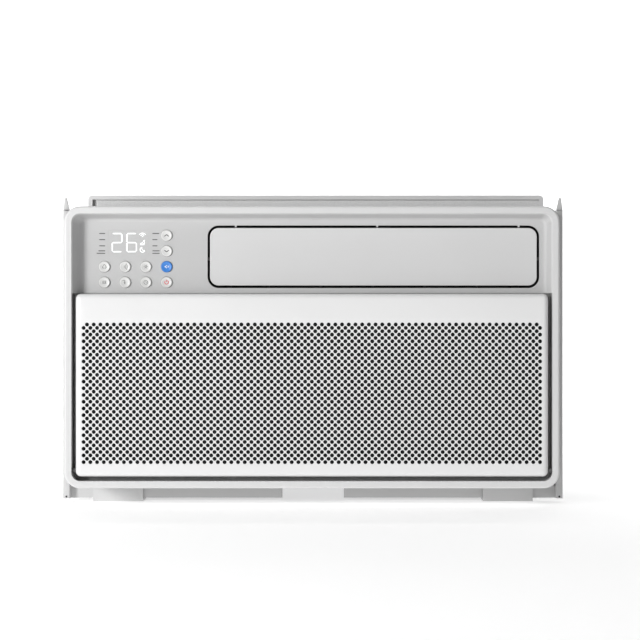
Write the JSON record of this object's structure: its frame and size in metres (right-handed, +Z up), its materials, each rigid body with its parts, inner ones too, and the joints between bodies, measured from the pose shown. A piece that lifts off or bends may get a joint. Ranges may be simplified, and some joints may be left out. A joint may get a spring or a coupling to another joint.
{
  "type": "window air conditioner",
  "caption": "Window air conditioner with a perforated tilt-out intake panel, a motor-driven outlet flap, push buttons, fan and compressor, and pull-out pleated side shutters.",
  "frame": {"origin": "middle of the overall box, on the surface that the unit stands on", "axes": "+X to the right as seen from the room, +Y from the room towards the outside, +Z up"},
  "size_m": [0.584, 0.52, 0.358],
  "materials": {
    "front_plastic": "fine satin moulding",
    "panel_plastic": "fine satin moulding",
    "flap_plastic": "fine satin moulding",
    "button_plastic": "semi-gloss",
    "lens": "hidden-lit panel, satin",
    "dark_plastic": "matt",
    "duct_plastic": "matt",
    "blower_plastic": "matt",
    "vane_plastic": "matt",
    "cabinet_steel": "pale powder coat",
    "pan_steel": "grey coat on galvanised steel",
    "bracket_steel": "grey powder coat",
    "rail_steel": "pale powder coat",
    "foam": "closed-cell foam",
    "shutter_plastic": "satin",
    "curtain": "pleated vinyl sheet",
    "fin_aluminium": "bare fins",
    "copper": "bare copper",
    "compressor_black": "semi-gloss black",
    "rubber": "matt",
    "motor_steel": "galvanised steel",
    "screw_steel": "zinc plated",
    "insulation": "expanded foam board",
    "board_green": "solder-resist",
    "filter_white": "woven nylon mesh"
  },
  "bodies": {
    "unit": {"front_frame": "front_plastic", "flap_pin": "dark_plastic", "flap_motor": "motor_steel", "outlet_duct": "duct_plastic", "display_lens": "lens", "control_board": "board_green", "base_pan": "pan_steel", "cabinet_shell": "cabinet_steel", "rear_grille": "cabinet_steel", "bulkhead": "insulation", "blower_scroll": "blower_plastic", "fan_motor": "motor_steel", "motor_bracket": "pan_steel", "fan_shroud": "pan_steel", "evaporator_coil": "fin_aluminium", "condenser_coil": "fin_aluminium", "coil_bends": "copper", "compressor": "compressor_black", "compressor_feet": "rubber", "accumulator": "compressor_black", "suction_pipe": "copper", "discharge_pipe": "copper", "capillary_tube": "copper", "control_box": "dark_plastic", "curtain_channels": "rail_steel", "top_rail": "rail_steel", "top_rail_seal": "foam", "cabinet_screws": "screw_steel", "sill_brackets": "bracket_steel", "cord_grommet": "rubber", "drain_plug": "rubber"},
    "flap": {"outlet_flap": "flap_plastic", "flap_shaft": "dark_plastic"},
    "intake_panel": {"intake_grille": "panel_plastic", "filter_frame": "dark_plastic", "filter_mesh": "filter_white"},
    "rotor": {"fan_shaft": "screw_steel", "condenser_fan": "blower_plastic", "blower_wheel": "blower_plastic"},
    "left_shutter_slide": {"left_shutter": "shutter_plastic", "left_curtain": "curtain"},
    "right_shutter_slide": {"right_shutter": "shutter_plastic", "right_curtain": "curtain"},
    "vane_bar": {"vane_link": "vane_plastic"},
    "vane_1": {"vane_1": "vane_plastic"},
    "vane_2": {"vane_2": "vane_plastic"},
    "vane_3": {"vane_3": "vane_plastic"},
    "vane_4": {"vane_4": "vane_plastic"},
    "vane_5": {"vane_5": "vane_plastic"},
    "button_up": {"button_up": "button_plastic"},
    "button_down": {"button_down": "button_plastic"},
    "button_mute": {"button_mute": "button_plastic"},
    "button_power": {"button_power": "button_plastic"},
    "button_mode": {"button_mode": "button_plastic"},
    "button_timer": {"button_timer": "button_plastic"},
    "button_swing": {"button_swing": "button_plastic"},
    "button_eco": {"button_eco": "button_plastic"},
    "button_fan": {"button_fan": "button_plastic"},
    "button_filter": {"button_filter": "button_plastic"}
  },
  "joints": [
    {"name": "flap_tilt", "type": "hinge", "parent": "unit", "child": "flap", "pos_m": [0.0698, -0.2305, 0.2823], "axis": [-1, 0, 0], "range_deg": [0, 60]},
    {"name": "panel_tilt", "type": "hinge", "parent": "unit", "child": "intake_panel", "pos_m": [0, -0.253, 0.0422], "axis": [1, 0, 0], "range_deg": [0, 45]},
    {"name": "rotor_spin", "type": "hinge", "parent": "unit", "child": "rotor", "pos_m": [0.0698, 0, 0.13685], "axis": [0, 1, 0], "continuous": true},
    {"name": "left_shutter_pull", "type": "slide", "parent": "unit", "child": "left_shutter_slide", "axis": [-1, 0, 0], "range_m": [0, 0.148], "deforming": ["left_curtain"]},
    {"name": "right_shutter_pull", "type": "slide", "parent": "unit", "child": "right_shutter_slide", "axis": [1, 0, 0], "range_m": [0, 0.148], "deforming": ["right_curtain"]},
    {"name": "vane_1_turn", "type": "hinge", "parent": "unit", "child": "vane_1", "pos_m": [-0.05149, -0.1765, 0.2843], "axis": [0, 0, 1], "range_deg": [-30, 30]},
    {"name": "vane_2_turn", "type": "hinge", "parent": "unit", "child": "vane_2", "pos_m": [0.00916, -0.1765, 0.2843], "axis": [0, 0, 1], "range_deg": [-30, 30]},
    {"name": "vane_3_turn", "type": "hinge", "parent": "unit", "child": "vane_3", "pos_m": [0.0698, -0.1765, 0.2843], "axis": [0, 0, 1], "range_deg": [-30, 30]},
    {"name": "vane_4_turn", "type": "hinge", "parent": "unit", "child": "vane_4", "pos_m": [0.13044, -0.1765, 0.2843], "axis": [0, 0, 1], "range_deg": [-30, 30]},
    {"name": "vane_5_turn", "type": "hinge", "parent": "unit", "child": "vane_5", "pos_m": [0.19109, -0.1765, 0.2843], "axis": [0, 0, 1], "range_deg": [-30, 30]},
    {"name": "vane_bar_slide", "type": "slide", "parent": "unit", "child": "vane_bar", "axis": [1, 0, 0], "range_m": [-0.00418, 0.00418]},
    {"name": "button_up_press", "type": "slide", "parent": "unit", "child": "button_up", "axis": [0, 1, 0], "range_m": [0, 0.001], "stiffness_N_per_m": 300, "springref_m": -0.001},
    {"name": "button_down_press", "type": "slide", "parent": "unit", "child": "button_down", "axis": [0, 1, 0], "range_m": [0, 0.001], "stiffness_N_per_m": 300, "springref_m": -0.001},
    {"name": "button_mute_press", "type": "slide", "parent": "unit", "child": "button_mute", "axis": [0, 1, 0], "range_m": [0, 0.001], "stiffness_N_per_m": 300, "springref_m": -0.001},
    {"name": "button_power_press", "type": "slide", "parent": "unit", "child": "button_power", "axis": [0, 1, 0], "range_m": [0, 0.001], "stiffness_N_per_m": 300, "springref_m": -0.001},
    {"name": "button_mode_press", "type": "slide", "parent": "unit", "child": "button_mode", "axis": [0, 1, 0], "range_m": [0, 0.001], "stiffness_N_per_m": 300, "springref_m": -0.001},
    {"name": "button_timer_press", "type": "slide", "parent": "unit", "child": "button_timer", "axis": [0, 1, 0], "range_m": [0, 0.001], "stiffness_N_per_m": 300, "springref_m": -0.001},
    {"name": "button_swing_press", "type": "slide", "parent": "unit", "child": "button_swing", "axis": [0, 1, 0], "range_m": [0, 0.001], "stiffness_N_per_m": 300, "springref_m": -0.001},
    {"name": "button_eco_press", "type": "slide", "parent": "unit", "child": "button_eco", "axis": [0, 1, 0], "range_m": [0, 0.001], "stiffness_N_per_m": 300, "springref_m": -0.001},
    {"name": "button_fan_press", "type": "slide", "parent": "unit", "child": "button_fan", "axis": [0, 1, 0], "range_m": [0, 0.001], "stiffness_N_per_m": 300, "springref_m": -0.001},
    {"name": "button_filter_press", "type": "slide", "parent": "unit", "child": "button_filter", "axis": [0, 1, 0], "range_m": [0, 0.001], "stiffness_N_per_m": 300, "springref_m": -0.001}
  ],
  "couplings": [
    {"joint": "vane_1_turn", "follows": "vane_bar_slide", "rad_per_m": -125},
    {"joint": "vane_2_turn", "follows": "vane_bar_slide", "rad_per_m": -125},
    {"joint": "vane_3_turn", "follows": "vane_bar_slide", "rad_per_m": -125},
    {"joint": "vane_4_turn", "follows": "vane_bar_slide", "rad_per_m": -125},
    {"joint": "vane_5_turn", "follows": "vane_bar_slide", "rad_per_m": -125}
  ]
}
